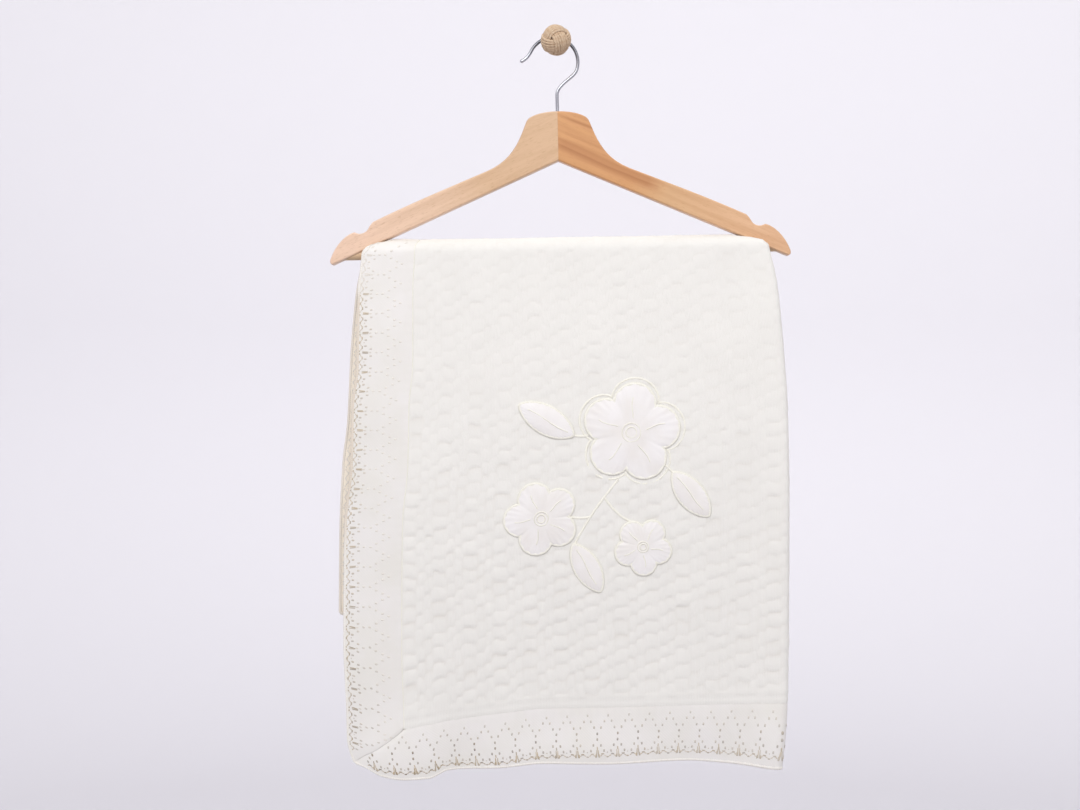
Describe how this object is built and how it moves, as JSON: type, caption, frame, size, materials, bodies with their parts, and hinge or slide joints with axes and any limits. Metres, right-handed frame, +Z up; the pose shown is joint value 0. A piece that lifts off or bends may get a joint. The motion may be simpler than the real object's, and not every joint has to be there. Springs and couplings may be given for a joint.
{
  "type": "baby blanket on a clothes hanger",
  "caption": "Baby blanket of puffy knit with a satin border and flower patches, folded over the bar of a wooden clothes hanger that hangs by its wire hook from a round wall knob.",
  "frame": {"origin": "the middle of the knob's flat foot, on the wall", "axes": "+X to the right seen from the front, +Z up, +Y into the wall; the blanket's front faces -Y"},
  "size_m": [0.4476, 0.053, 0.7287],
  "materials": {
    "puffy_knit": "ivory matelasse knit, puffy and matt",
    "border_satin": "smooth ivory satin with small gold stitched dots",
    "patch_satin": "white satin with cream satin stitch at the edge",
    "beech_pale": "clear-lacquered pale beech",
    "beech_red": "clear-lacquered redder beech",
    "zinc_wire": "bright zinc-plated wire",
    "twine": "natural jute twine",
    "turned_wood": "turned wood, plain"
  },
  "bodies": {
    "root": {"panel": "puffy_knit", "border_outer_side": "border_satin", "border_inner_side": "border_satin", "border_front_hem": "border_satin", "border_back_hem": "border_satin", "patch_flower_large": "patch_satin", "patch_flower_middle": "patch_satin", "patch_flower_small": "patch_satin", "patch_leaf_upper": "patch_satin", "patch_leaf_right": "patch_satin", "patch_leaf_lower": "patch_satin", "arm_left": "beech_pale", "arm_right": "beech_red", "trouser_bar": "beech_pale", "hook": "zinc_wire", "knob_ball": "twine", "knob_peg": "turned_wood"}
  },
  "joints": []
}
